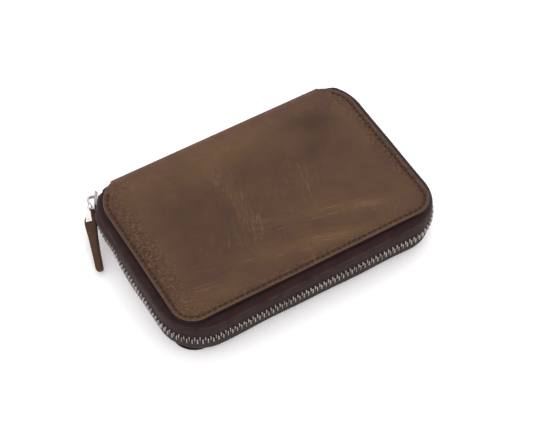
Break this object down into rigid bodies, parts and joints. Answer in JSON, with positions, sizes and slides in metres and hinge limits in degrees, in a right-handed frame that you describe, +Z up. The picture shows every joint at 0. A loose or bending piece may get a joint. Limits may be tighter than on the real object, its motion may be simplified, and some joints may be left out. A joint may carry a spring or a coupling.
{
  "type": "zip-around leather pouch",
  "caption": "Rounded rectangular leather pouch with two hinged covers, a spine, a metal zip round three sides and a slider with a leather pull.",
  "frame": {"origin": "centre of the back cover's outer face, which the closed pouch rests on", "axes": "+X along the spine, away from the closed slider; -Y towards the zip's front run, +Y towards the spine; +Z up through the front cover"},
  "size_m": [0.1662, 0.1083, 0.026],
  "materials": {
    "hide": "waxed pull-up leather, low sheen",
    "lining_leather": "smooth thin leather, matte",
    "board": "matte",
    "zip_cloth": "woven tape, matte",
    "zip_metal": "aged nickel",
    "slider_metal": "polished nickel",
    "thread": "waxed thread"
  },
  "bodies": {
    "back": {"back_cover": "hide", "back_board": "board", "back_lining": "lining_leather", "passport_pocket": "lining_leather", "note_pocket": "lining_leather", "back_stitching": "thread", "zip_tape_lower": "zip_cloth", "zip_teeth_lower": "zip_metal", "top_stop_lower": "zip_metal", "bottom_stop": "zip_metal"},
    "spine": {"spine_cover": "hide", "spine_board": "board", "spine_lining": "lining_leather", "zip_tail_left": "zip_cloth", "zip_tail_right": "zip_cloth"},
    "front": {"front_cover": "hide", "front_board": "board", "front_lining": "lining_leather", "card_pocket_1": "lining_leather", "card_pocket_2": "lining_leather", "card_pocket_3": "lining_leather", "card_pocket_4": "lining_leather", "front_stitching": "thread", "zip_tape_upper": "zip_cloth", "zip_teeth_upper": "zip_metal", "top_stop_upper": "zip_metal"},
    "slider": {"slider_body": "slider_metal", "slider_bridge": "slider_metal"},
    "pull": {"pull_clamp": "slider_metal", "pull_tab": "hide"}
  },
  "joints": [
    {"name": "spine_fold", "type": "hinge", "parent": "back", "child": "spine", "pos_m": [0, 0.0475, 0.001], "axis": [-1, 0, 0], "range_deg": [0, 90]},
    {"name": "cover_fold", "type": "hinge", "parent": "spine", "child": "front", "pos_m": [0, 0.0475, 0.025], "axis": [-1, 0, 0], "range_deg": [0, 90]},
    {"name": "slider_travel", "type": "hinge", "parent": "back", "child": "slider", "pos_m": [-0.0481, 0.0295, 0.014], "axis": [0, 0, 1], "range_deg": [0, 20], "deforming": ["zip_teeth_upper", "zip_teeth_lower"]},
    {"name": "pull_swing", "type": "hinge", "parent": "slider", "child": "pull", "pos_m": [-0.0743, 0.04883, 0.014], "axis": [0, 0, -1], "range_deg": [0, 150]}
  ],
  "couplings": [
    {"joint": "cover_fold", "follows": "spine_fold", "ratio": 1}
  ]
}
